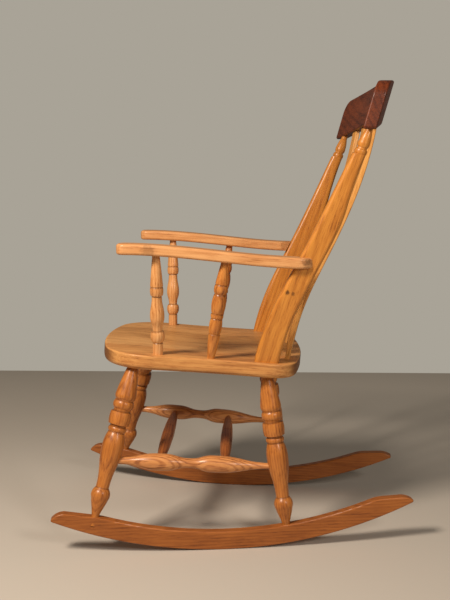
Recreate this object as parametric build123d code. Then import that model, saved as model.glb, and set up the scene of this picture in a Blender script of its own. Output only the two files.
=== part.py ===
from build123d import *
import os
from math import asin, atan, cos, degrees, radians, sin, sqrt, tan

# Lath-back rocking armchair, glued together from turned and sawn pieces.
# Millimetres. +Z is up and the sitter faces -Y, so +X is the sitter's left.
# The origin is on the floor, midway between the rocker tips.

# ---- clearances that every joint shares ----
glue_gap = 0.06         # room for glue round a tenon
socket_rest = 1.5       # air left below a tenon in a blind socket
hole_floor = 6.0        # from a leg's or stretcher's axis to the end of a tenon let into it

# ---- rockers: sawn to an arc, closer together at the back ----
rocker_radius = 1040.0
rocker_depth = 43.0
rocker_thickness = 23.0
rocker_mid_x = 217.0    # centre line, level with the origin
rocker_toe_in = 6.9     # degrees that each rocker turns inwards towards the back
rocker_contact_y = -20.0
rocker_front_y = -422.0     # tips, on the centre line
rocker_rear_y = 423.65
rocker_top_y = (-306.0, 334.0)      # where the top edge leaves its arc and flattens
rocker_nose = (-390.0, 99.0)        # where each end begins to round over, as y and height
rocker_heel = (393.0, 112.0)
rocker_nose_swell = 4.5             # how far each rounded end stands out from its chord
rocker_heel_swell = 2.5
rocker_edge = 3.0
rocker_shoulder_round = 90.0        # corners of the outline, seen from the side
rocker_nose_round = 14.0
rocker_tip_round = rocker_edge + 1.0

# ---- seat: glued boards, dished, lower at the back ----
seat_height = 444.5     # top face above the origin
seat_tilt = 3.8         # degrees
seat_thickness = 35.0
seat_front_y = -324.0   # centre of the bowed front edge
seat_rear_y = 160.0
seat_front_half = 240.0
seat_waist_half = 220.0
seat_rear_half = 230.0
seat_front_bow = 45.0
seat_rear_bow = 28.0
seat_front_corner = 110.0
seat_rear_corner = 66.0
seat_top_round = 4.0
seat_bottom_round = 13.0
seat_board_width = 117.0    # the two inner boards; the outer ones take the rest
dish_depth = 9.0
dish_radius = 186.0
dish_centre_y = -84.0

# ---- legs: one turning pattern, tenoned into the seat and the rockers ----
leg_foot_radius = 8.8
leg_top_radius = 13.2
leg_seat_depth = 26.0
leg_rocker_depth = 24.0
front_leg_foot_y = -320.0
front_leg_top_x = 187.0
front_leg_top_y = -236.0
rear_leg_foot_y = 120.0
rear_leg_top_x = 181.0
rear_leg_top_y = 72.0

# ---- stretchers ----
side_stretcher_front_z = 213.0
side_stretcher_rear_z = 189.0
side_stretcher_front_end = 8.3
side_stretcher_rear_end = 7.3
side_stretcher_swell = 19.6
side_stretcher_waist = 11.2
side_stretcher_swell_y = (-171.0, -46.0)
cross_stretcher_y = (-174.5, -25.0)
cross_stretcher_end = 8.2
cross_stretcher_swell = 14.6
cross_stretcher_line = 42.0     # scribed line's distance from the middle

# ---- arms ----
arm_top_edge = [(-264.0, 712.5), (-126.0, 706.0), (-23.0, 695.5), (90.0, 685.0), (181.0, 682.5)]
arm_thickness = 24.5
arm_mid_x = 229.0
arm_front_half = 27.0
arm_waist_half = 24.0
arm_rear_half = 26.0
arm_front_corner = 18.0
arm_rear_corner = 44.0
arm_edge = 6.0
arm_shoulder_width = 14.0   # slanted cut on the inner side, in front of the post
arm_shoulder_run = 30.0
arm_shoulder_y = 142.0

# ---- turned supports between seat and arm ----
front_support_foot_x = 203.0
front_support_top_x = 226.0
front_support_y = -177.0
front_support_foot_radius = 11.8
front_support_top_radius = 8.8
rear_support_foot_x = 205.0
rear_support_foot_y = -56.0
rear_support_top_x = 228.0
rear_support_top_y = -23.0
rear_support_foot_radius = 8.2
rear_support_top_radius = 8.5
support_tenon_radius = 8.6
support_seat_depth = 20.0
support_arm_depth = 17.0

# ---- back posts: sawn, with a turned neck ----
post_base_x = 201.0
post_top_x = 252.0
post_top_z = 911.0      # where the sawn part ends and the turned neck begins
post_thickness = 26.0
post_edge = 9.0
post_front_edge = [(41.0, 430.0), (58.0, 496.5), (83.0, 562.0), (129.0, 655.0), (180.0, 757.0), (215.0, 831.0),
                   (252.5, 911.0)]
post_rear_edge = [(98.0, 430.0), (115.0, 498.0), (155.0, 595.0), (202.0, 690.0), (240.0, 778.0), (249.5, 812.0),
                  (262.5, 855.0), (281.0, 906.0)]
post_tenon_y = 71.0
post_tenon_out = 3.0    # nearer the outer face, clear of the leg's socket
post_tenon_width = 34.0
post_tenon_thickness = 12.0
post_tenon_length = 25.0
neck_y = 268.3
neck_lean = 19.5        # degrees back from upright
neck_top_radius = 8.0
neck_tenon_radius = 6.2
neck_taper = (52.0, 70.0)   # distances up the neck between which it narrows to the tenon
neck_length = 88.0

# ---- laths: five bent strips between the seat and the crest ----
lath_steps = (-2, -1, 0, 1, 2)
lath_top_spacing = 87.5
lath_base_spacing = 69.0
lath_width = 34.0
lath_thickness = 11.0
lath_edge = 2.5
lath_bend = [(0.19, -10.0), (0.45, 1.0), (0.745, 12.5)]     # share of the chord, offset to the back
lath_base_angle = 7.0       # degrees off the chord at each end
lath_top_angle = 11.0
lath_base_y = 130.0         # middle lath on the seat
lath_base_advance = 8.0     # how much further forward the outermost laths stand
lath_tenon_width = 28.0
lath_tenon_thickness = 7.5
lath_tenon_length = 17.0

# ---- crest rail: sawn from thick stock, hollow towards the sitter ----
crest_half = 300.0
crest_thickness = 28.0
crest_sagitta = 35.5
crest_lean = 15.5           # degrees back from upright
crest_end_y = 280.6         # middle of the thickness at the lower corners
crest_end_z = 957.5
crest_end_height = 103.0
crest_lower_arch = 26.0
crest_upper_arch = 20.5
crest_corner = 38.0
crest_edge = 4.0

# ---- hidden dowels between the arms' laps and the back posts ----
dowel_y = 150.0
dowel_z = 671.5
dowel_radius = 4.0
dowel_in_arm = 9.0
dowel_in_post = 14.0


def turning(stations):
    """A solid turned about Z. A station is (height, radius) for a straight run from the one before it,
    (height, radius, "swell") for an S-shaped change, or (height, radius, middle radius) for a bead or cove."""
    height, radius = stations[0][:2]
    edges = [Line((0, 0, height), (radius, 0, height))]
    for station in stations[1:]:
        next_height, next_radius = station[:2]
        start, end = (radius, 0, height), (next_radius, 0, next_height)
        reach = 0.45 * (next_height - height)
        if len(station) == 2:
            edges.append(Line(start, end))
        elif station[2] == "swell":
            edges.append(Bezier(start, (radius, 0, height + reach), (next_radius, 0, next_height - reach), end))
        else:
            edges.append(ThreePointArc(start, (station[2], 0, (height + next_height) / 2), end))
        height, radius = next_height, next_radius
    edges.append(Line((radius, 0, height), (0, 0, height)))
    edges.append(Line((0, 0, height), (0, 0, stations[0][0])))
    return revolve(make_face(edges), axis=Axis.Z)


def along(start, end):
    """Places a turned solid with its base at start and its axis towards end."""
    return Plane(origin=start, z_dir=Vector(*end) - Vector(*start)).location


def peg(start, end, radius, low, high):
    """A round bar on the axis from start to end, between two distances from start."""
    return along(start, end) * Pos(0, 0, (low + high) / 2) * Cylinder(radius, high - low)


def length(start, end):
    return (Vector(*end) - Vector(*start)).length


def point_between(start, end, share):
    return tuple(a + (b - a) * share for a, b in zip(start, end))


def mirrored(shape):
    return mirror(shape, about=Plane.YZ)


# ---- faces that several pieces meet ----
seat_place = Pos(0, 0, seat_height) * Rot(-seat_tilt, 0, 0)
post_lean = degrees(atan((post_top_x - post_base_x) / (post_top_z - seat_height)))
post_plane = Plane(
    origin=(post_base_x, 0, seat_height), x_dir=(0, 1, 0), z_dir=(cos(radians(post_lean)), 0, -sin(radians(post_lean)))
)
crest_place = Pos(0, crest_end_y, crest_end_z) * Rot(-crest_lean, 0, 0)


def seat_top(y):
    return seat_height - tan(radians(seat_tilt)) * y


def seat_underside(y):
    return seat_top(y) - seat_thickness / cos(radians(seat_tilt))


def above_seat(shape):
    return split(shape, bisect_by=Plane(seat_place), keep=Keep.TOP)


def rocker_x(y):
    return rocker_mid_x - tan(radians(rocker_toe_in)) * y


def rocker_run(y):
    return (y - rocker_contact_y) / cos(radians(rocker_toe_in))


def rocker_top(y):
    return rocker_radius - sqrt((rocker_radius - rocker_depth) ** 2 - rocker_run(y) ** 2)


def on_post(y, z):
    """A point at (y, z) in a side view, as coordinates in the back post's own plane."""
    return (y, (z - seat_height) / cos(radians(post_lean)))


def crest_hollow(x):
    """How far the crest's middle lies behind its ends, square to its lean."""
    return crest_sagitta * (1 - (x / crest_half) ** 2)


def crest_lower_edge(x):
    """Height of the crest's lower face up its lean, at the middle of the thickness; the face is level."""
    return crest_lower_arch * (1 - (x / crest_half) ** 2) + crest_hollow(x) * tan(radians(crest_lean))


# ---- end points of the turned pieces' axes, shared with their sockets ----
front_leg_foot = (rocker_x(front_leg_foot_y), front_leg_foot_y, rocker_top(front_leg_foot_y))
front_leg_top = (front_leg_top_x, front_leg_top_y, seat_underside(front_leg_top_y))
rear_leg_foot = (rocker_x(rear_leg_foot_y), rear_leg_foot_y, rocker_top(rear_leg_foot_y))
rear_leg_top = (rear_leg_top_x, rear_leg_top_y, seat_underside(rear_leg_top_y))


def on_leg(foot, top, z):
    return point_between(foot, top, (z - foot[2]) / (top[2] - foot[2]))


side_stretcher_front = on_leg(front_leg_foot, front_leg_top, side_stretcher_front_z)
side_stretcher_rear = on_leg(rear_leg_foot, rear_leg_top, side_stretcher_rear_z)


def on_side_stretcher(y):
    share = (y - side_stretcher_front[1]) / (side_stretcher_rear[1] - side_stretcher_front[1])
    return point_between(side_stretcher_front, side_stretcher_rear, share)


arm_under_front = arm_top_edge[0][1] + (arm_top_edge[1][1] - arm_top_edge[0][1]) * 0.62 - arm_thickness
front_support_foot = (front_support_foot_x, front_support_y, seat_top(front_support_y))
front_support_head = (front_support_top_x, front_support_y, arm_under_front)
rear_support_foot = (rear_support_foot_x, rear_support_foot_y, seat_top(rear_support_foot_y))
rear_support_head = (rear_support_top_x, rear_support_top_y, arm_top_edge[2][1] - arm_thickness)


def leg(foot, top):
    """Pear-shaped foot, vase, ring, flat collar and bead, then a long taper into the seat."""
    run = length(foot, top)
    stations = [
        (-leg_rocker_depth, leg_foot_radius),
        (1, leg_foot_radius),
        (23, 15.4, 11.8),
        (39, 20.0, 18.0),
        (62, 17.4, 21.9),
        (66, 15.0),
        (68, 15.2),
        (160, 25.0, "swell"),
        (194, 19.4, 24.0),
        (196.5, 18.8),
        (198, 20.2),
        (207, 20.2, 21.4),
        (209, 18.4),
        (212, 18.4),
        (214, 23.8),
        (243, 24.2, 25.4),
        (245, 19.6),
        (249, 19.6),
        (251, 20.8),
        (270, 21.2, 24.2),
        (272, 21.0),
        (285, 24.0, 24.0),
        (run - 6, leg_top_radius, 19.4),
        (run + leg_seat_depth, leg_top_radius),
    ]
    return along(foot, top) * turning(stations)


def front_leg():
    socket = peg(side_stretcher_front, side_stretcher_rear, side_stretcher_front_end + glue_gap,
                 hole_floor - socket_rest, 40)
    return leg(front_leg_foot, front_leg_top) - socket


def rear_leg():
    socket = peg(side_stretcher_rear, side_stretcher_front, side_stretcher_rear_end + glue_gap,
                 hole_floor - socket_rest, 40)
    return leg(rear_leg_foot, rear_leg_top) - socket


def rocker_end(tip, shoulder, top, swell):
    """One end of a rocker's outline, from the tip on the floor arc up to where the top arc begins."""
    chord = Vector(*shoulder) - Vector(*tip)
    out = chord.cross(Vector(1, 0, 0)).normalized() * swell
    if out.Y * tip[1] < 0:
        out = -out
    swollen = (Vector(*tip) + Vector(*shoulder)) * 0.5 + out
    return [ThreePointArc(tip, swollen, shoulder), Line(shoulder, top)]


def rocker():
    """The left rocker, with a blind socket for each leg."""
    def on_arc(y, depth):
        reach = rocker_radius - depth
        run = rocker_run(y)
        return (0, run, rocker_radius - sqrt(reach**2 - run**2))

    toe, tail = on_arc(rocker_front_y, 0), on_arc(rocker_rear_y, 0)
    front_top, rear_top = on_arc(rocker_top_y[0], rocker_depth), on_arc(rocker_top_y[1], rocker_depth)
    nose, heel = (0, rocker_run(rocker_nose[0]), rocker_nose[1]), (0, rocker_run(rocker_heel[0]), rocker_heel[1])
    outline = [ThreePointArc(toe, (0, 0, 0), tail)]
    outline += rocker_end(tail, heel, rear_top, rocker_heel_swell)
    outline += [ThreePointArc(rear_top, (0, 0, rocker_depth), front_top)]
    outline += rocker_end(toe, nose, front_top, rocker_nose_swell)
    profile = make_face(outline)
    rounds = (
        ((front_top, rear_top), rocker_shoulder_round),
        ((nose, heel), rocker_nose_round),
        ((toe, tail), rocker_tip_round),
    )
    for corners, radius in rounds:
        for corner in corners:
            profile = fillet(profile.vertices().sort_by_distance(corner)[0], radius=radius)
    body = extrude(profile, amount=rocker_thickness / 2, dir=(1, 0, 0), both=True)
    sides = body.faces().sort_by(Axis.X)
    body = fillet(sides[0].edges() + sides[-1].edges(), radius=rocker_edge)
    body = Pos(rocker_x(rocker_contact_y), rocker_contact_y, 0) * Rot(0, 0, rocker_toe_in) * body
    for foot, top in ((front_leg_foot, front_leg_top), (rear_leg_foot, rear_leg_top)):
        body -= peg(foot, top, leg_foot_radius + glue_gap, -leg_rocker_depth - socket_rest, 20)
    return body


def side_stretcher():
    """Two swells with a waist between them, from leg to leg."""
    start, end = side_stretcher_front, side_stretcher_rear
    run = length(start, end)
    swell = [length(start, on_side_stretcher(y)) for y in side_stretcher_swell_y]
    waist = sum(swell) / 2 + 4
    stations = [
        (hole_floor, side_stretcher_front_end),
        (27, side_stretcher_front_end),
        (swell[0] - 8, side_stretcher_swell, "swell"),
        (swell[0] + 8, side_stretcher_swell),
        (waist - 3, side_stretcher_waist, "swell"),
        (waist + 3, side_stretcher_waist),
        (swell[1] - 8, side_stretcher_swell, "swell"),
        (swell[1] + 8, side_stretcher_swell),
        (run - 27, side_stretcher_rear_end, "swell"),
        (run - hole_floor, side_stretcher_rear_end),
    ]
    body = along(start, end) * turning(stations)
    for y in cross_stretcher_y:
        left, right = cross_stretcher_ends(y)
        body -= peg(left, right, cross_stretcher_end + glue_gap, hole_floor - socket_rest, 30)
    return body


def cross_stretcher_ends(y):
    x, _, z = on_side_stretcher(y)
    return (x, y, z), (-x, y, z)


def cross_stretcher(y):
    """One long swell with two scribed lines near the middle."""
    left, right = cross_stretcher_ends(y)
    run = length(left, right)
    full, line, cut = cross_stretcher_swell, cross_stretcher_line, 1.0
    belly = (cross_stretcher_end + full) / 2 + 1.3
    stations = [(hole_floor, cross_stretcher_end), (24, cross_stretcher_end)]
    stations += [(run / 2 - line - cut, full, belly), (run / 2 - line, full - cut), (run / 2 - line + cut, full)]
    stations += [(run / 2 + line - cut, full, full + 0.6), (run / 2 + line, full - cut), (run / 2 + line + cut, full)]
    stations += [(run - 24, cross_stretcher_end, belly), (run - hole_floor, cross_stretcher_end)]
    return along(left, right) * turning(stations)


def seat():
    """The whole seat with its sockets, before it is divided into boards."""
    front, rear = seat_front_y + seat_front_bow, seat_rear_y - seat_rear_bow
    waist = (front + rear) / 2
    outline = [
        ThreePointArc((-seat_front_half, front), (0, seat_front_y), (seat_front_half, front)),
        ThreePointArc((seat_front_half, front), (seat_waist_half, waist), (seat_rear_half, rear)),
        ThreePointArc((seat_rear_half, rear), (0, seat_rear_y), (-seat_rear_half, rear)),
        ThreePointArc((-seat_rear_half, rear), (-seat_waist_half, waist), (-seat_front_half, front)),
    ]
    body = extrude(make_face(outline), amount=seat_thickness, dir=(0, 0, -1))
    body = fillet(body.edges().filter_by(Axis.Z).sort_by(Axis.Y)[:2], radius=seat_front_corner)
    body = fillet(body.edges().filter_by(Axis.Z).sort_by(Axis.Y)[-2:], radius=seat_rear_corner)
    body = fillet(body.faces().sort_by(Axis.Z)[0].edges(), radius=seat_bottom_round)
    body = fillet(body.faces().sort_by(Axis.Z)[-1].edges(), radius=seat_top_round)
    rim = (dish_radius, 0, 0)
    hollow = [
        Bezier((0, 0, -dish_depth), (dish_radius * 0.5, 0, -dish_depth), (dish_radius * 0.62, 0, -2.6), rim),
        Line(rim, (dish_radius, 0, 20)),
        Line((dish_radius, 0, 20), (0, 0, 20)),
        Line((0, 0, 20), (0, 0, -dish_depth)),
    ]
    body -= Pos(0, dish_centre_y, 0) * revolve(make_face(hollow), axis=Axis.Z)
    body = seat_place * body
    sockets = [post_mortise()]
    for foot, top in ((front_leg_foot, front_leg_top), (rear_leg_foot, rear_leg_top)):
        run = length(foot, top)
        sockets.append(peg(foot, top, leg_top_radius + glue_gap, run - 30, run + leg_seat_depth + socket_rest))
    for foot, top in ((front_support_foot, front_support_head), (rear_support_foot, rear_support_head)):
        sockets.append(peg(foot, top, support_tenon_radius + glue_gap, -support_seat_depth - socket_rest, 20))
    for socket in sockets:
        body -= socket
        body -= mirrored(socket)
    for step in lath_steps:
        body -= lath_tenons(step, glue_gap)[0]
    return body


def seat_board(number, whole):
    """Board 1 is the sitter's right-hand one."""
    edges = (-400, -seat_board_width, 0, seat_board_width, 400)
    low, high = edges[number - 1], edges[number]
    return whole & Pos((low + high) / 2, 0, seat_height) * Box(high - low, 1000, 300)


def arm_blank():
    """Side outline met by plan outline, before joints are cut."""
    front_y, rear_y = arm_top_edge[0][0], arm_top_edge[-1][0]
    upper = [(0, y, z) for y, z in arm_top_edge]
    lower = [(0, y, z - arm_thickness) for y, z in arm_top_edge]
    side = [Spline(*upper), Line(upper[-1], lower[-1]), Spline(*lower), Line(lower[0], upper[0])]
    body = extrude(make_face(side), amount=400, dir=(1, 0, 0))
    middle_y = (front_y + rear_y) / 2
    outer, inner = [], []
    for y, half in ((front_y, arm_front_half), (middle_y, arm_waist_half), (rear_y, arm_rear_half)):
        outer.append((arm_mid_x + half, y))
        inner.append((arm_mid_x - half, y))
    plan = [ThreePointArc(*outer), Line(outer[2], inner[2]), ThreePointArc(*inner), Line(inner[0], outer[0])]
    outline = extrude(make_face(plan), amount=1000, dir=(0, 0, 1))
    outline = fillet(outline.edges().filter_by(Axis.Z).sort_by(Axis.Y)[:2], radius=arm_front_corner)
    rear_edges = outline.edges().filter_by(Axis.Z).sort_by(Axis.Y)[-2:]
    outline = fillet(rear_edges.sort_by(Axis.X)[-1], radius=arm_rear_corner)
    return body & outline


def arm():
    """Notched round the back post, so that a thin lap runs past the post's outer face."""
    body = arm_blank()
    body = fillet([edge for edge in body.edges() if abs(edge.tangent_at(0.5).Z) < 0.6], radius=arm_edge)
    low, high = on_post(*post_front_edge[0]), on_post(*post_front_edge[-1])
    behind = [
        Spline(*[on_post(y, z) for y, z in post_front_edge]),
        Line(high, (400, high[1])),
        Line((400, high[1]), (400, low[1])),
        Line((400, low[1]), low),
    ]
    notch = extrude(make_face(behind), amount=post_thickness / 2 + glue_gap)
    notch += extrude(make_face(behind), amount=-100)
    body -= Pos(0, -glue_gap, 0) * (post_plane * notch)
    slant_x = arm_mid_x - arm_shoulder_width + 1
    slant = [
        (slant_x, arm_shoulder_y),
        (slant_x - 2 * arm_shoulder_width, arm_shoulder_y - 2 * arm_shoulder_run),
        (slant_x - 50, arm_shoulder_y - 2 * arm_shoulder_run),
        (slant_x - 50, arm_shoulder_y + 80),
        (slant_x, arm_shoulder_y + 80),
    ]
    body -= Pos(0, 0, 600) * extrude(make_face(Polyline(*slant, close=True)), amount=200, dir=(0, 0, 1))
    for foot, top, radius in (
        (front_support_foot, front_support_head, front_support_top_radius),
        (rear_support_foot, rear_support_head, rear_support_top_radius),
    ):
        run = length(foot, top)
        body -= peg(foot, top, radius + glue_gap, run - 20, run + support_arm_depth + socket_rest)
    return body - lap_dowel(glue_gap, socket_rest)


def front_arm_support():
    """Cylinder foot, collar, vase and band, then a taper into the arm."""
    foot, top = front_support_foot, front_support_head
    run = length(foot, top)
    stations = [
        (-6, front_support_foot_radius),
        (27, front_support_foot_radius),
        (28.5, 10.6),
        (30.5, 12.6),
        (54, 14.4, 16.2),
        (55.5, 11.4),
        (58, 11.0),
        (90, 16.5, "swell"),
        (134, 11.6, "swell"),
        (137, 11.0),
        (139, 13.8),
        (156.5, 14.6, 15.2),
        (158, 13.4),
        (160.5, 14.6),
        (run - 4, front_support_top_radius, 11.9),
        (run + support_arm_depth, front_support_top_radius),
    ]
    body = above_seat(along(foot, top) * turning(stations))
    return body + peg(foot, top, support_tenon_radius, -support_seat_depth, 12)


def rear_arm_support():
    """Slanted: two soft swells with a ring between them, then a band and a taper into the arm."""
    foot, top = rear_support_foot, rear_support_head
    run = length(foot, top)
    stations = [
        (-6, rear_support_foot_radius),
        (2, rear_support_foot_radius),
        (57, 13.6, 11.6),
        (58.5, 12.4),
        (60, 12.4),
        (61.5, 13.4),
        (94, 13.2, 14.9),
        (95.5, 12.2),
        (97, 14.0),
        (105.5, 14.0, 14.6),
        (107, 12.4),
        (109, 14.0),
        (150, 13.6, 16.4),
        (152, 12.4),
        (154, 13.8),
        (173, 14.4, 15.8),
        (174.5, 13.4),
        (176.5, 14.4),
        (run - 5, rear_support_top_radius, 11.6),
        (run + support_arm_depth, rear_support_top_radius),
    ]
    body = above_seat(along(foot, top) * turning(stations))
    return body + peg(foot, top, support_tenon_radius, -support_seat_depth, 12)


def post_mortise():
    width, thickness = post_tenon_width + 2 * glue_gap, post_tenon_thickness + 2 * glue_gap
    depth = post_tenon_length + socket_rest
    place = post_plane.location * Pos(post_tenon_y, (20 - depth) / 2, post_tenon_out)
    return place * Box(width, depth + 20, thickness)


def neck_axis():
    """Two points on the axis of the turned neck."""
    y, rise = on_post(neck_y, post_top_z - 3)
    lean = radians(neck_lean)
    start = post_plane.from_local_coords(Vector(y, rise, 0))
    end = post_plane.from_local_coords(Vector(y + 100 * sin(lean), rise + 100 * cos(lean), 0))
    return (start.X, start.Y, start.Z), (end.X, end.Y, end.Z)


def back_post():
    """Sawn S-shape standing on the seat, with a turned neck that enters the crest rail."""
    front = [on_post(y, z) for y, z in post_front_edge]
    rear = [on_post(y, z) for y, z in post_rear_edge]
    profile = [Spline(*front), Line(front[-1], rear[-1]), Spline(*rear), Line(rear[0], front[0])]
    body = extrude(make_face(profile), amount=post_thickness / 2, both=True)
    body = fillet([edge for edge in body.edges() if edge.length > 400], radius=post_edge)
    body = above_seat(post_plane.location * body)
    start, end = neck_axis()
    neck = [
        (-14, 12.0),
        (0, 12.6),
        (1.5, 13.4),
        (10, 13.2, 13.9),
        (11.5, 11.2),
        (14.5, 10.8),
        (17, 12.2),
        (28, 12.8, 13.3),
        (neck_taper[0], neck_top_radius, 11.2),
        (neck_taper[1], neck_tenon_radius),
        (neck_length, neck_tenon_radius),
    ]
    body += along(start, end) * turning(neck)
    tenon_place = post_plane.location * Pos(post_tenon_y, (8 - post_tenon_length) / 2, post_tenon_out)
    body += tenon_place * Box(post_tenon_width, post_tenon_length + 8, post_tenon_thickness)
    return body - lap_dowel(glue_gap, socket_rest)


def lath_ends(step):
    """Base on the seat and top on the crest's lower edge, both at the middle of the lath's thickness."""
    x, y = step * lath_base_spacing, lath_base_y - lath_base_advance * (step / 2) ** 2
    top_x = step * lath_top_spacing
    top = (crest_place * Pos(top_x, crest_hollow(top_x), crest_lower_edge(top_x))).position
    return Vector(x, y, seat_top(y)), top


def lath_plane(step):
    """x to the back, y up the chord, z across; turned to follow the crest's hollow."""
    base, top = lath_ends(step)
    turn = atan(2 * crest_sagitta * step * lath_top_spacing / crest_half**2)
    up = (top - base).normalized()
    across = Vector(sin(turn), cos(turn), 0).cross(up).normalized()
    return Plane(origin=base, x_dir=up.cross(across), z_dir=across)


def lath_tenons(step, grow=0.0):
    """A lath's straight ends, or with grow their mortises: one in the seat, one in the crest."""
    base, top = lath_ends(step)
    chord = (top - base).length
    thick, wide = lath_tenon_thickness + 2 * grow, lath_tenon_width + 2 * grow
    deep = lath_tenon_length + (socket_rest if grow else 0)
    inside = 12 if grow else 6
    low = Rot(0, 0, lath_base_angle) * Pos(0, (inside - deep) / 2, 0) * Box(thick, deep + inside, wide)
    high = Pos(0, chord, 0) * Rot(0, 0, lath_top_angle) * Pos(0, (deep - inside) / 2, 0)
    high = high * Box(thick, deep + inside, wide)
    place = lath_plane(step).location
    return place * low, place * high


def lath(step, crest):
    """A strip steam-bent to an S, let into the seat and the crest."""
    base, top = lath_ends(step)
    chord = (top - base).length
    past = 14.0
    points = [(past * sin(radians(lath_base_angle)), -past), (0, 0)]
    points += [(offset, part * chord) for part, offset in lath_bend]
    points += [(0, chord), (-past * sin(radians(lath_top_angle)), chord + past)]
    half = lath_thickness / 2
    front = [(x - half, y) for x, y in points]
    rear = [(x + half, y) for x, y in points]
    profile = [Spline(*front), Line(front[-1], rear[-1]), Spline(*rear), Line(rear[0], front[0])]
    body = extrude(make_face(profile), amount=lath_width / 2, both=True)
    body = fillet([edge for edge in body.edges() if edge.length > 400], radius=lath_edge)
    body = above_seat(lath_plane(step).location * body)
    body = (body - crest).solids().sort_by(SortBy.VOLUME)[-1]
    for tenon in lath_tenons(step):
        body += tenon
    return body


def crest_blank():
    """Leaning rail: a curved plank cut to an arched front outline."""
    half, thick = crest_half, crest_thickness / 2
    plank = [
        ThreePointArc((-half, -thick), (0, crest_sagitta - thick), (half, -thick)),
        Line((half, -thick), (half, thick)),
        ThreePointArc((half, thick), (0, crest_sagitta + thick), (-half, thick)),
        Line((-half, thick), (-half, -thick)),
    ]
    body = Pos(0, 0, -50) * extrude(make_face(plank), amount=300, dir=(0, 0, 1))
    outline = [
        ThreePointArc((-half, 0, 0), (0, 0, crest_lower_arch), (half, 0, 0)),
        Line((half, 0, 0), (half, 0, crest_end_height)),
        ThreePointArc((half, 0, crest_end_height), (0, 0, crest_end_height + crest_upper_arch),
                      (-half, 0, crest_end_height)),
        Line((-half, 0, crest_end_height), (-half, 0, 0)),
    ]
    shape = make_face(outline)
    corners = shape.vertices().sort_by(Axis.Z)
    shape = fillet(corners[-2:], radius=crest_corner)
    shape = fillet(shape.vertices().sort_by(Axis.Z)[:2], radius=crest_edge * 1.5)
    level = (0, cos(radians(crest_lean)), sin(radians(crest_lean)))
    body = body & extrude(shape, amount=200, dir=level, both=True)
    rims = [edge for edge in body.edges() if abs(edge.tangent_at(0.5).Y) < 0.6]
    body = fillet(rims, radius=crest_edge)
    return crest_place * body


def crest_rail(blank):
    body = blank
    start, end = neck_axis()
    socket = along(start, end) * turning([
        (neck_taper[0] - 16, neck_top_radius + glue_gap),
        (neck_taper[0], neck_top_radius + glue_gap),
        (neck_taper[1], neck_tenon_radius + glue_gap),
        (neck_length + socket_rest, neck_tenon_radius + glue_gap),
    ])
    body -= socket
    body -= mirrored(socket)
    for step in lath_steps:
        body -= lath_tenons(step, glue_gap)[1]
    return body


def lap_dowel(grow=0.0, rest=0.0):
    """A dowel across the joint between arm and post, or with grow and rest the hole for it."""
    face = post_base_x + (dowel_z - seat_height) * tan(radians(post_lean)) + post_thickness / 2 / cos(radians(post_lean))
    low, high = face - dowel_in_post - rest, face + dowel_in_arm + rest
    return Pos((low + high) / 2, dowel_y, dowel_z) * Rot(0, 90, 0) * Cylinder(dowel_radius + grow, high - low)


def save(shape, node):
    export_step(shape, f"parts/{node}.step")


os.makedirs("parts", exist_ok=True)

for name, make in (
    ("rocker", rocker),
    ("front_leg", front_leg),
    ("rear_leg", rear_leg),
    ("side_stretcher", side_stretcher),
    ("front_arm_support", front_arm_support),
    ("rear_arm_support", rear_arm_support),
    ("arm", arm),
    ("back_post", back_post),
):
    piece = make()
    save(piece, name + "_left")
    save(mirrored(piece), name + "_right")

save(cross_stretcher(cross_stretcher_y[0]), "cross_stretcher_front")
save(cross_stretcher(cross_stretcher_y[1]), "cross_stretcher_rear")

whole_seat = seat()
for number in (1, 2, 3, 4):
    save(seat_board(number, whole_seat), f"seat_board_{number}")

uncut_crest = crest_blank()
save(crest_rail(uncut_crest), "crest_rail")
for number, step in enumerate(lath_steps, start=1):
    save(lath(step, uncut_crest), f"back_lath_{number}")

save(Compound([lap_dowel(), mirrored(lap_dowel())]), "arm_dowels")
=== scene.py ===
from math import cos, radians, sin, tan

import bpy
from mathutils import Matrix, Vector


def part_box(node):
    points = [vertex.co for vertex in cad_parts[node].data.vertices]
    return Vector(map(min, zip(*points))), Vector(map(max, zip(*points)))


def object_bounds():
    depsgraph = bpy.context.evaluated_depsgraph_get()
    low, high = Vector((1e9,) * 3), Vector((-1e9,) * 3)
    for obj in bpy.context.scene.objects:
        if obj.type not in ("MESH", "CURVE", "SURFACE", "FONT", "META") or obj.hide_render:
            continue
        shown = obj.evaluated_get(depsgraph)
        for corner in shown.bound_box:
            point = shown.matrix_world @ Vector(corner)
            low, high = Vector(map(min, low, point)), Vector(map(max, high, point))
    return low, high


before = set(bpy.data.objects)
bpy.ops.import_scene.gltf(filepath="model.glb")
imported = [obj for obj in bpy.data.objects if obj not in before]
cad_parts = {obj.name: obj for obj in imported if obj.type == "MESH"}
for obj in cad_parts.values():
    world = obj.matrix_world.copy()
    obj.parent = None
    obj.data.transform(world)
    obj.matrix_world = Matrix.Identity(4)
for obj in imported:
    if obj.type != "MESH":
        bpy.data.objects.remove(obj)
cad_low, cad_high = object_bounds()

# ---- Rockers ----
# Two runners sawn from straight plank to one long arc. The grain runs level from end to end, so the arc
# cuts across it and shows long pointed figures. Oak, stained and varnished after the chair was glued up.

RUNNER_TOE_IN = 6.9         # degrees that each runner turns inwards towards the back
RUNNER_MID_X = 0.217        # a runner's centre line, level with the middle of the chair
OAK_RING = 0.0065           # spacing of the year rings across the board; real ones are half as wide
OAK_PORE = 0.0021           # width of an open pore line, drawn twice as wide as real so that it shows
OAK_PORE_RUN = 0.034        # how far a pore line runs along the grain


def paint(hex_colour):
    """A hex colour as the linear one that a shader takes."""
    channels = [int(hex_colour[at:at + 2], 16) / 255 for at in (1, 3, 5)]
    linear = [c / 12.92 if c <= 0.04045 else ((c + 0.055) / 1.055) ** 2.4 for c in channels]
    return (*linear, 1.0)


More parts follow.
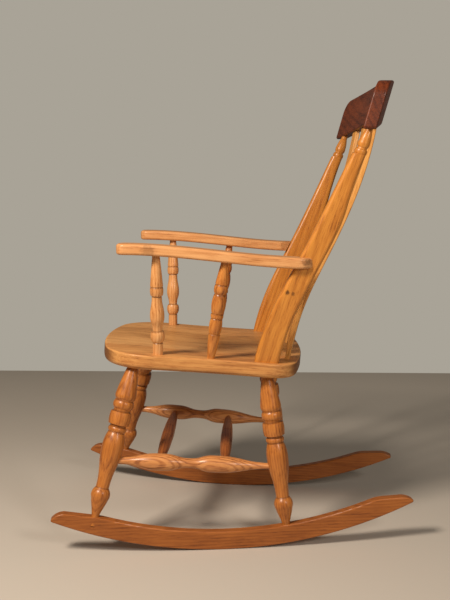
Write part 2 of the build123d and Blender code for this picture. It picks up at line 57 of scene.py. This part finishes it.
def add(tree, kind, links=None, **settings):
    """Adds a node with its settings, and sets or joins its inputs by name or number."""
    node = tree.nodes.new(kind)
    for setting, value in settings.items():
        setattr(node, setting, value)
    for socket, value in (links or {}).items():
        if isinstance(value, bpy.types.NodeSocket):
            tree.links.new(value, node.inputs[socket])
        else:
            node.inputs[socket].default_value = value
    return node


def varnished_wood(name, start, end, colours, ring=OAK_RING, heart=(0.055, 0.02), figure=0.22, fleck=0.3,
                   patches=0.2, end_dark=0.62, groove_shade=(), marks=(), gloss=0.36, coat=0.25):
    """Open-grained wood with its grain along the line from start to end, in metres.

    Year rings are shells round a heart line beside that axis, so turned swells show nested ovals. Pores are
    short dark lines along the grain, and cut ends are darker. The varnish is a satin coat over all of it."""
    material = bpy.data.materials.new(name)
    material.use_nodes = True
    tree = material.node_tree
    tree.nodes.clear()
    axis = (Vector(end) - Vector(start)).normalized()
    turn = axis.to_track_quat("Z", "Y").to_euler()

    place = add(tree, "ShaderNodeTexCoord").outputs["Object"]
    grain = add(tree, "ShaderNodeMapping", {"Vector": place, "Location": start, "Rotation": turn},
                vector_type="TEXTURE").outputs["Vector"]

    # year rings
    slow = add(tree, "ShaderNodeVectorMath", {0: grain, 1: (9.0, 9.0, 2.6)}, operation="MULTIPLY").outputs[0]
    wander = add(tree, "ShaderNodeTexNoise", {"Vector": slow, "Scale": 1.0, "Detail": 2.0}).outputs["Color"]
    wander = add(tree, "ShaderNodeVectorMath", {0: wander, 1: (0.5, 0.5, 0.5)},
                 operation="SUBTRACT").outputs[0]
    wander = add(tree, "ShaderNodeVectorMath", {0: wander, 1: (0.030, 0.030, 0.0)},
                 operation="MULTIPLY").outputs[0]
    section = add(tree, "ShaderNodeVectorMath", {0: grain, 1: (1.0, 1.0, 0.045)},
                  operation="MULTIPLY").outputs[0]
    section = add(tree, "ShaderNodeVectorMath", {0: section, 1: wander}, operation="ADD").outputs[0]
    section = add(tree, "ShaderNodeVectorMath", {0: section, 1: (*heart, 0.0)},
                  operation="SUBTRACT").outputs[0]
    radius = add(tree, "ShaderNodeVectorMath", {0: section}, operation="LENGTH").outputs["Value"]
    phase = add(tree, "ShaderNodeMath", {0: radius, 1: 6.283 / ring}, operation="MULTIPLY").outputs[0]
    wave = add(tree, "ShaderNodeMath", {0: phase}, operation="SINE").outputs[0]
    rings = add(tree, "ShaderNodeMapRange", {"Value": wave, "From Min": -0.3, "From Max": 1.0},
                interpolation_type="SMOOTHSTEP").outputs[0]

    # pores, finer streaks between them, and broad patches of stain
    across, along = 1 / OAK_PORE, 1 / OAK_PORE_RUN
    stretch = add(tree, "ShaderNodeVectorMath", {0: grain, 1: (across, across, along)},
                  operation="MULTIPLY").outputs[0]
    lines = add(tree, "ShaderNodeTexNoise", {"Vector": stretch, "Scale": 1.0, "Detail": 2.0,
                                             "Roughness": 0.6}).outputs[0]
    pores = add(tree, "ShaderNodeMapRange", {"Value": lines, "From Min": 0.52, "From Max": 0.70},
                interpolation_type="SMOOTHSTEP").outputs[0]
    broad = add(tree, "ShaderNodeVectorMath", {0: grain, 1: (across / 2, across / 2, along / 3)},
                operation="MULTIPLY").outputs[0]
    streaks = add(tree, "ShaderNodeTexNoise", {"Vector": broad, "Scale": 1.0, "Detail": 4.0,
                                               "Roughness": 0.65}).outputs[0]
    blotch = add(tree, "ShaderNodeVectorMath", {0: grain, 1: (26.0, 26.0, 9.0)},
                 operation="MULTIPLY").outputs[0]
    stain = add(tree, "ShaderNodeTexNoise", {"Vector": blotch, "Scale": 1.0, "Detail": 3.0}).outputs[0]

    # how light the wood is, from 0 to 1
    tone = add(tree, "ShaderNodeMapRange", {"Value": streaks, "From Min": 0.25, "From Max": 0.75,
                                            "To Min": 0.52, "To Max": 1.0}).outputs[0]
    for pattern, share in ((rings, figure), (pores, fleck)):
        tone = add(tree, "ShaderNodeMath", {0: pattern, 1: -share, 2: tone},
                   operation="MULTIPLY_ADD").outputs[0]
    stain = add(tree, "ShaderNodeMapRange", {"Value": stain, "From Min": 0.3, "From Max": 0.7,
                                             "To Min": -patches, "To Max": patches}).outputs[0]
    tone = add(tree, "ShaderNodeMath", {0: tone, 1: stain}, operation="ADD").outputs[0]
    ramp = add(tree, "ShaderNodeValToRGB", {"Fac": tone})
    ramp.color_ramp.interpolation = "B_SPLINE"
    deep, middle, light = (paint(c) for c in colours)
    ramp.color_ramp.elements[0].color = deep
    ramp.color_ramp.elements[1].color = light
    ramp.color_ramp.elements.new(0.45).color = middle
    colour = ramp.outputs["Color"]

    # cut ends drink more stain
    facing = add(tree, "ShaderNodeNewGeometry").outputs["Normal"]
    facing = add(tree, "ShaderNodeVectorMath", {0: facing, 1: axis}, operation="DOT_PRODUCT").outputs["Value"]
    facing = add(tree, "ShaderNodeMath", {0: facing}, operation="ABSOLUTE").outputs[0]
    facing = add(tree, "ShaderNodeMapRange", {"Value": facing, "From Min": 0.62, "From Max": 0.9,
                                              "To Min": 0.0, "To Max": end_dark},
                 interpolation_type="SMOOTHSTEP").outputs[0]
    colour = add(tree, "ShaderNodeMix", {"Factor": facing, 6: colour, 7: deep}, data_type="RGBA").outputs[2]

    # painted shade in the turned grooves, at distances along the axis
    if groove_shade:
        height = add(tree, "ShaderNodeSeparateXYZ", {0: grain}).outputs["Z"]
        groove_shade_mask = None
        for at, half_width in groove_shade:
            gap = add(tree, "ShaderNodeMath", {0: height, 1: at}, operation="SUBTRACT").outputs[0]
            gap = add(tree, "ShaderNodeMath", {0: gap}, operation="ABSOLUTE").outputs[0]
            near = add(tree, "ShaderNodeMapRange", {"Value": gap, "From Min": half_width * 0.4,
                                                    "From Max": half_width, "To Min": 0.45, "To Max": 0.0},
                       interpolation_type="SMOOTHSTEP").outputs[0]
            groove_shade_mask = near if groove_shade_mask is None else add(tree, "ShaderNodeMath", {0: groove_shade_mask, 1: near},
                                                 operation="MAXIMUM").outputs[0]
        # the grooves take a dark colour as painted shade
        colour = add(tree, "ShaderNodeMix", {"Factor": groove_shade_mask, 6: colour, 7: paint("#472310")},
                     data_type="RGBA").outputs[2]

    # knots, old marks and dark spots, one of them a painted shadow, as a centre, a radius and a strength
    for centre, reach, strength in marks:
        shaken = add(tree, "ShaderNodeTexNoise", {"Vector": place, "Scale": 160.0}).outputs["Color"]
        shaken = add(tree, "ShaderNodeVectorMath", {0: shaken, 1: (0.5, 0.5, 0.5)},
                     operation="SUBTRACT").outputs[0]
        shaken = add(tree, "ShaderNodeVectorMath", {0: shaken, 1: (reach,) * 3},
                     operation="MULTIPLY").outputs[0]
        shaken = add(tree, "ShaderNodeVectorMath", {0: shaken, 1: place}, operation="ADD").outputs[0]
        gap = add(tree, "ShaderNodeVectorMath", {0: shaken, 1: centre}, operation="DISTANCE").outputs["Value"]
        near = add(tree, "ShaderNodeMapRange", {"Value": gap, "From Min": reach * 0.3, "From Max": reach,
                                                "To Min": strength, "To Max": 0.0},
                   interpolation_type="SMOOTHSTEP").outputs[0]
        colour = add(tree, "ShaderNodeMix", {"Factor": near, 6: colour, 7: paint("#3A1D0C")},
                     data_type="RGBA").outputs[2]

    # the pores stay slightly open under the varnish, so they are rougher and lie lower
    rough = add(tree, "ShaderNodeMapRange", {"Value": lines, "From Min": 0.3, "From Max": 0.7,
                                             "To Min": gloss, "To Max": gloss + 0.16}).outputs[0]
    sunk = add(tree, "ShaderNodeMath", {0: pores, 1: -1.0, 2: streaks}, operation="MULTIPLY_ADD").outputs[0]
    relief = add(tree, "ShaderNodeBump", {"Height": sunk, "Strength": 0.35, "Distance": 0.0004}).outputs[0]
    shader = add(tree, "ShaderNodeBsdfPrincipled", {
        "Base Color": colour, "Roughness": rough, "Normal": relief, "IOR": 1.45, "Specular IOR Level": 0.35,
        "Coat Weight": coat, "Coat Roughness": 0.24, "Coat IOR": 1.45,
    })
    add(tree, "ShaderNodeOutputMaterial", {"Surface": shader.outputs[0]})
    return material


def dress(node, material):
    """Gives a node of the frame its finish."""
    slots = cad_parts[node].material_slots
    for slot in slots:
        slot.material = material


for hand, side in (("left", 1), ("right", -1)):
    low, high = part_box(f"rocker_{hand}")
    middle = (low + high) / 2
    run = Vector((-side * sin(radians(RUNNER_TOE_IN)), cos(radians(RUNNER_TOE_IN)), 0.0))
    dress(f"rocker_{hand}", varnished_wood(
        f"oak_runner_{hand}", middle, middle + run, ("#4A230C", "#8A4A1C", "#B06A2E"),
        heart=(0.02 * side, 0.16), ring=0.0075, figure=0.16, patches=0.16))

# ---- Legs ----
# Four turned oak legs in one pattern: pear-shaped foot, long vase, a wide flat collar between thin rings,
# then a taper into the seat. Painted shade darkens the grooves beside the collar and rings.

LEG_GROOVES = ((0.0665, 0.0022), (0.1965, 0.0018), (0.2105, 0.0032), (0.2470, 0.0034), (0.2715, 0.0020))
LEG_ROCKER_DEPTH = 0.024    # how far the foot's tenon goes down into the runner
LEG_SEAT_DEPTH = 0.026      # how far the head's tenon goes up into the seat
LEG_FOOT_Y = {"front": -0.320, "rear": 0.120}
LEG_HEAD = {"front": (0.187, -0.236), "rear": (0.181, 0.072)}
LEG_SLIT = (0.019, 0.014, 0.032)    # an old dark slit, from the middle of the foot

for hand, side in (("left", 1), ("right", -1)):
    for end in ("front", "rear"):
        node = f"{end}_leg_{hand}"
        low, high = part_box(node)
        foot_x = side * (RUNNER_MID_X - tan(radians(RUNNER_TOE_IN)) * LEG_FOOT_Y[end])
        head_x, head_y = LEG_HEAD[end]
        foot = Vector((foot_x, LEG_FOOT_Y[end], low.z + LEG_ROCKER_DEPTH))
        head = Vector((side * head_x, head_y, high.z - LEG_SEAT_DEPTH))
        marks = [(foot + Vector(LEG_SLIT), 0.007, 0.75)] if node == "front_leg_left" else []
        dress(node, varnished_wood(
            f"oak_turned_{node}", foot, head, ("#5A2A0E", "#A05A22", "#C8803A"),
            heart=(0.030 * side, -0.040), groove_shade=LEG_GROOVES, marks=marks, patches=0.2, end_dark=0.15,
            gloss=0.32, coat=0.35))

# ---- Side stretchers ----
# A turned rail from front leg to rear leg on each side, with two fat swells. The swells cut through the
# year rings and show them as nested ovals. Lighter oak than the legs.

RAIL_SWELL = 0.019          # radius of the swells

for hand, side in (("left", 1), ("right", -1)):
    low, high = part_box(f"side_stretcher_{hand}")
    front = Vector(((low.x + high.x) / 2, low.y, high.z - RAIL_SWELL))
    rear = Vector(((low.x + high.x) / 2, high.y, low.z + RAIL_SWELL))
    dress(f"side_stretcher_{hand}", varnished_wood(
        f"oak_side_rail_{hand}", front, rear, ("#5E3014", "#B87240", "#DE9F60"),
        ring=0.0052, heart=(0.052 * side, 0.012), figure=0.34, patches=0.14, end_dark=0.1,
        gloss=0.32, coat=0.35))

# ---- Cross stretchers ----
# Two plain turned rails between the side stretchers, each with a pair of scribed lines near the middle.
# Redder wood in the shade under the seat, with the scribed lines made nearly black by painted shade.

SCRIBE_OFFSET = 0.042       # each scribed line's distance from the middle

for end in ("front", "rear"):
    low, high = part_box(f"cross_stretcher_{end}")
    middle = (low + high) / 2
    dress(f"cross_stretcher_{end}", varnished_wood(
        f"oak_cross_rail_{end}", middle, middle + Vector((0.1, 0, 0)), ("#451E0B", "#87451C", "#B06A30"),
        groove_shade=((-SCRIBE_OFFSET, 0.002), (SCRIBE_OFFSET, 0.002)), patches=0.16, end_dark=0.1))

# ---- Seat ----
# Four oak boards glued edge to edge, dished for the sitter and rounded over at the rim. The grain runs
# front to back, so the front and back edges are dark end grain. Each board was cut from another plank.

SEAT_FALL = 0.066           # how far the seat drops towards the back, for each metre
BOARD_TONES = (("#643818", "#BA7D44", "#DEA868"), ("#5A3012", "#A8703A", "#D09A5C"),
               ("#683C1A", "#BE8248", "#E0AC6C"), ("#5C3214", "#B2713A", "#D8A05E"))
BOARD_HEARTS = ((0.03, 0.11), (-0.02, 0.09), (0.045, 0.13), (-0.035, 0.10))

for number, (tones, heart) in enumerate(zip(BOARD_TONES, BOARD_HEARTS), start=1):
    low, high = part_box(f"seat_board_{number}")
    middle = (low + high) / 2
    dress(f"seat_board_{number}", varnished_wood(
        f"oak_seat_board_{number}", middle, middle + Vector((0, 1, -SEAT_FALL)), tones, heart=heart,
        ring=0.010, figure=0.18, fleck=0.28, patches=0.18, end_dark=0.8, gloss=0.40, coat=0.2))

# ---- Arm supports ----
# Two turned spindles a side hold each arm: an upright one near the front with a round collar and a vase,
# and a leaning one behind it with three soft swells. Pale honey-coloured oak.

# grooves along each spindle, darkened with painted shade
FRONT_GROOVES = ((0.0285, 0.0022), (0.0565, 0.0028), (0.1370, 0.0022), (0.1580, 0.0018))
REAR_GROOVES = ((0.0592, 0.0020), (0.0955, 0.0018), (0.1072, 0.0020), (0.1518, 0.0022), (0.1748, 0.0018))

SPINDLE_SEAT_DEPTH = 0.020  # how far a tenon goes down into the seat
SPINDLE_ARM_DEPTH = 0.017   # and up into the arm
FRONT_SPINDLE_X = (0.203, 0.226)        # on the seat, and under the arm
REAR_SPINDLE_X = (0.205, 0.228)
REAR_SPINDLE_Y = (-0.056, -0.023)

for hand, side in (("left", 1), ("right", -1)):
    low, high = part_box(f"front_arm_support_{hand}")
    middle_y = (low.y + high.y) / 2
    foot = Vector((side * FRONT_SPINDLE_X[0], middle_y, low.z + SPINDLE_SEAT_DEPTH))
    head = Vector((side * FRONT_SPINDLE_X[1], middle_y, high.z - SPINDLE_ARM_DEPTH))
    dress(f"front_arm_support_{hand}", varnished_wood(
        f"oak_front_spindle_{hand}", foot, head, ("#7A431C", "#C88446", "#E6B076"), groove_shade=FRONT_GROOVES,
        patches=0.12, end_dark=0.1, gloss=0.32, coat=0.3))
    low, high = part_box(f"rear_arm_support_{hand}")
    foot = Vector((side * REAR_SPINDLE_X[0], REAR_SPINDLE_Y[0], low.z + SPINDLE_SEAT_DEPTH))
    head = Vector((side * REAR_SPINDLE_X[1], REAR_SPINDLE_Y[1], high.z - SPINDLE_ARM_DEPTH))
    dress(f"rear_arm_support_{hand}", varnished_wood(
        f"oak_rear_spindle_{hand}", foot, head, ("#582C0F", "#B2672A", "#D89448"), groove_shade=REAR_GROOVES,
        patches=0.26, end_dark=0.1, gloss=0.30, coat=0.4))

# ---- Arms ----
# Sawn oak arms with rounded edges. The back end is cut away round the post, and its rounded outer corner
# carries a painted shadow from the post.

ARM_MID_X = 0.229
ARM_OUTER_X = 0.256
ARM_HALF_THICK = 0.012
ARM_DARK_SPOT = 0.022           # radius of the two dark spots on the outer side

for hand, side in (("left", 1), ("right", -1)):
    low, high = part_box(f"arm_{hand}")
    front = Vector((side * ARM_MID_X, low.y, high.z - ARM_HALF_THICK))
    rear = Vector((side * ARM_MID_X, high.y, low.z + ARM_HALF_THICK))
    # a dark spot near the front, and a painted shadow where the post shades the arm's back end
    marks = [(Vector((side * ARM_OUTER_X, low.y + 0.072, high.z - 0.016)), ARM_DARK_SPOT, 0.35),
             (Vector((side * ARM_OUTER_X, high.y - 0.006, low.z + 0.014)), ARM_DARK_SPOT, 0.55)]
    dress(f"arm_{hand}", varnished_wood(
        f"oak_arm_{hand}", front, rear, ("#6A3A18", "#C27F48", "#E2AC74"), heart=(0.13 * side, 0.02),
        ring=0.008, figure=0.14, patches=0.16, end_dark=0.1, marks=marks, gloss=0.34, coat=0.3))

# ---- Back posts ----
# Broad posts sawn to an S and rounded along the edges, with a turned neck under the crest rail. The grain
# runs up the post, broken by a few small knots above the seat.

POST_X = (0.201, 0.252)     # middle of the thickness, at the seat and under the neck
POST_Z = (0.445, 0.911)
POST_HALF_THICK = 0.013
KNOT_Z = 0.600
KNOTS = ((0.116, 0.603, 0.008, 0.8), (0.129, KNOT_Z, 0.006, 0.6), (0.084, 0.557, 0.004, 0.7))

for hand, side in (("left", 1), ("right", -1)):
    low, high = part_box(f"back_post_{hand}")
    foot = Vector((side * POST_X[0], low.y + 0.085, POST_Z[0]))
    head = Vector((side * POST_X[1], high.y - 0.025, POST_Z[1]))
    lean = (POST_X[1] - POST_X[0]) / (POST_Z[1] - POST_Z[0])
    outer = POST_X[0] + lean * (KNOT_Z - POST_Z[0]) + POST_HALF_THICK
    marks = [(Vector((side * outer, y, z)), reach, strength) for y, z, reach, strength in KNOTS]
    dress(f"back_post_{hand}", varnished_wood(
        f"oak_post_{hand}", foot, head, ("#5C300E", "#B06824", "#DA9440"), heart=(0.15 * side, 0.03),
        ring=0.0075, figure=0.16, patches=0.14, end_dark=0.4, marks=marks, gloss=0.33, coat=0.3))

# ---- Back laths ----
# Five thin strips steamed to the curve of the back, with their ends let into the seat and the crest rail.
# Quarter-sawn, so the rings show as straight close lines.

for number in (1, 2, 3, 4, 5):
    low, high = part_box(f"back_lath_{number}")
    foot = Vector(((low.x + high.x) / 2, low.y + 0.01, low.z))
    head = Vector(((low.x + high.x) / 2, high.y - 0.01, high.z))
    dress(f"back_lath_{number}", varnished_wood(
        f"oak_lath_{number}", foot, head, ("#6E3E12", "#C27C34", "#E6AE60"), heart=(0.4, 0.013 * number),
        ring=0.005, figure=0.12, patches=0.12, end_dark=0.3, gloss=0.36, coat=0.25))

# ---- Crest rail ----
# The thick curved top rail is mahogany, much darker and redder than the oak. It is sawn hollow towards the
# sitter, and its grain runs from side to side, so the ends are cut across the fibres.

low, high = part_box("crest_rail")
crest_middle = (low + high) / 2
dress("crest_rail", varnished_wood(
    "mahogany_crest", crest_middle, crest_middle + Vector((1, 0, 0)), ("#250C04", "#4C1E0B", "#7A3A1C"),
    heart=(0.2, 0.05), ring=0.012, figure=0.2, fleck=0.35, patches=0.2, end_dark=0.0, gloss=0.38, coat=0.2))

# ---- Arm dowels ----
# Short beech dowels glued across the joints between the arms and the posts, hidden inside the wood.

low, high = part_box("arm_dowels")
dowel_middle = (low + high) / 2
dress("arm_dowels", varnished_wood(
    "beech_dowel", dowel_middle, dowel_middle + Vector((1, 0, 0)), ("#B58A5A", "#D3AE7E", "#E6C99F"),
    figure=0.1, patches=0.05, end_dark=0.2, gloss=0.5, coat=0.0))

# ---- Floor ----
# A plain matt pale floor that ends where a wall would stand behind the chair, with the plain room beyond.

FLOOR_BACK = -1.65
FLOOR_REACH = 3.6

bpy.ops.mesh.primitive_plane_add(size=1.0)
floor = bpy.context.object
floor.name = "floor"
for vertex in floor.data.vertices:
    vertex.co.x = FLOOR_BACK if vertex.co.x < 0 else FLOOR_REACH
    vertex.co.y = -FLOOR_REACH if vertex.co.y < 0 else FLOOR_REACH
    vertex.co.z = cad_low.z
matt = bpy.data.materials.new("matt_floor")
matt.use_nodes = True
matt_shader = matt.node_tree.nodes["Principled BSDF"]
matt_shader.inputs["Base Color"].default_value = paint("#C2BAAF")
matt_shader.inputs["Roughness"].default_value = 0.75
floor.data.materials.append(matt)

# ---- Room light ----
# A dim warm grey room, a near soft lamp high in front of the chair to the sitter's left, and a weaker one
# towards the back that opens the shaded side.

ROOM_GLOW = 0.28            # how strongly the room lights the chair; its walls are seen at full strength

world = bpy.data.worlds.new("room")
bpy.context.scene.world = world
world.use_nodes = True
room = world.node_tree.nodes["Background"]
room.inputs["Color"].default_value = paint("#A9A397")
seen = add(world.node_tree, "ShaderNodeLightPath").outputs["Is Camera Ray"]
glow = add(world.node_tree, "ShaderNodeMapRange", {"Value": seen, "To Min": ROOM_GLOW,
                                                   "To Max": 1.0}).outputs[0]
world.node_tree.links.new(glow, room.inputs["Strength"])

aim = (cad_low + cad_high) / 2
for name, place, size, power, tint in (
    ("lamp_key", (1.4, -1.1, 2.0), 0.5, 62.0, "#FFF0DF"),
    ("lamp_fill", (2.0, 1.3, 1.5), 0.5, 20.0, "#FFF5EA"),
):
    lamp = bpy.data.objects.new(name, bpy.data.lights.new(name, "AREA"))
    bpy.context.scene.collection.objects.link(lamp)
    lamp.data.size = size
    lamp.data.energy = power
    lamp.data.color = paint(tint)[:3]
    lamp.location = place
    lamp.rotation_mode = "QUATERNION"
    lamp.rotation_quaternion = (aim - Vector(place)).to_track_quat("-Z", "Y")

# ---- Camera ----
# Level with the top of the back, square to the chair's left side and looking slightly down.

CAMERA_PLACE = (2.2216, 0.0318, 0.8689)
CAMERA_DOWN = 8.08          # degrees
CAMERA_TURN = -1.57         # degrees towards the chair's front

camera = bpy.data.objects.new("camera", bpy.data.cameras.new("camera"))
bpy.context.scene.collection.objects.link(camera)
camera.data.lens = 54.0
camera.data.sensor_width = 36.0
down, turned = radians(CAMERA_DOWN), radians(CAMERA_TURN)
forward = Vector((-cos(down) * cos(turned), cos(down) * sin(turned), -sin(down)))
camera.location = CAMERA_PLACE
camera.rotation_mode = "QUATERNION"
camera.rotation_quaternion = forward.to_track_quat("-Z", "Y")
bpy.context.scene.camera = camera
bpy.context.scene.view_settings.view_transform = "Standard"
